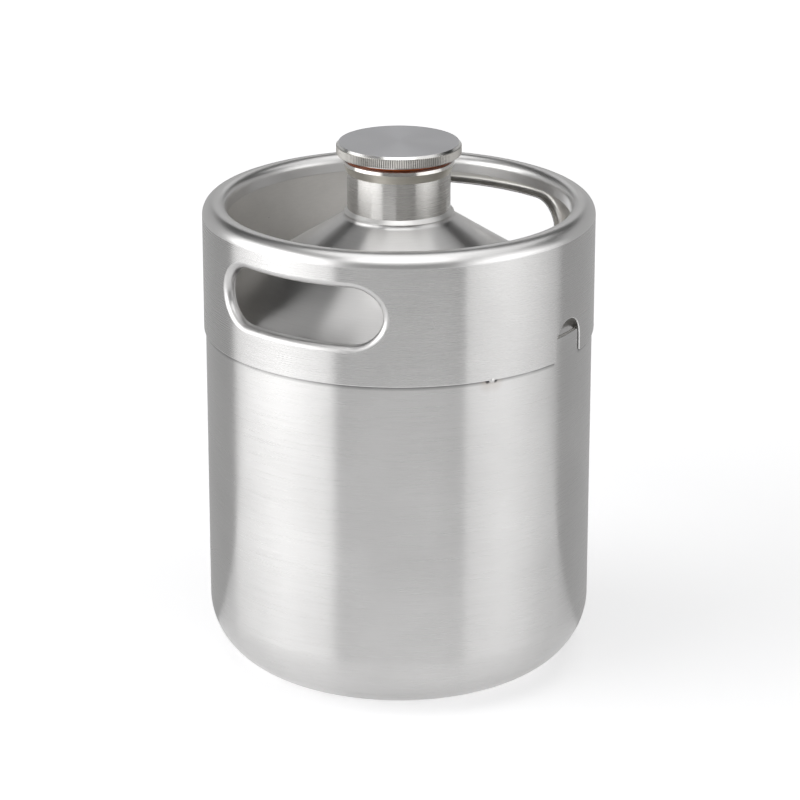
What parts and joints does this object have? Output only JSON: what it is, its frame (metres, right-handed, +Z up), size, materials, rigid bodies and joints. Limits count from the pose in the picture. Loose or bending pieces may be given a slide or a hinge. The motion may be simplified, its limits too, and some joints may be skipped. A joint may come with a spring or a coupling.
{
  "type": "mini keg with screw cap",
  "caption": "Small welded steel mini keg: drawn cup, conical shoulder, rolled carrying collar with handle slots and a knurled screw cap on a silicone ring.",
  "frame": {"origin": "on the keg's axis, on the surface that it stands on", "axes": "+Z up along the axis; the handle slots face -Y and +Y; the drain notches face -X and +X"},
  "size_m": [0.134, 0.134, 0.185],
  "materials": {
    "vessel_steel": "horizontally brushed stainless steel",
    "collar_steel": "horizontally brushed stainless steel, polished rim",
    "shoulder_steel": "spun-brushed stainless steel",
    "neck_steel": "turned stainless steel, polished lip",
    "cap_steel": "finely turned stainless steel, knurled edge",
    "weld_steel": "bright weld metal",
    "seal_silicone": "smooth orange-red silicone"
  },
  "bodies": {
    "keg": {"body_cup": "vessel_steel", "shoulder_dome": "shoulder_steel", "shoulder_seam_weld": "weld_steel", "neck_ring": "neck_steel", "neck_weld_bead": "weld_steel", "handle_collar": "collar_steel", "collar_tack_welds": "weld_steel"},
    "seal": {"cap_seal": "seal_silicone"},
    "cap": {"screw_cap": "cap_steel"}
  },
  "joints": [
    {"name": "cap_lift", "type": "slide", "parent": "keg", "child": "seal", "axis": [0, 0, 1], "range_m": [0, 0.0121]},
    {"name": "cap_turn", "type": "hinge", "parent": "seal", "child": "cap", "pos_m": [0, 0, 0.179], "axis": [0, 0, 1], "range_deg": [0, 1440]}
  ],
  "couplings": [
    {"joint": "cap_lift", "follows": "cap_turn", "m_per_rad": 0.00047746}
  ]
}
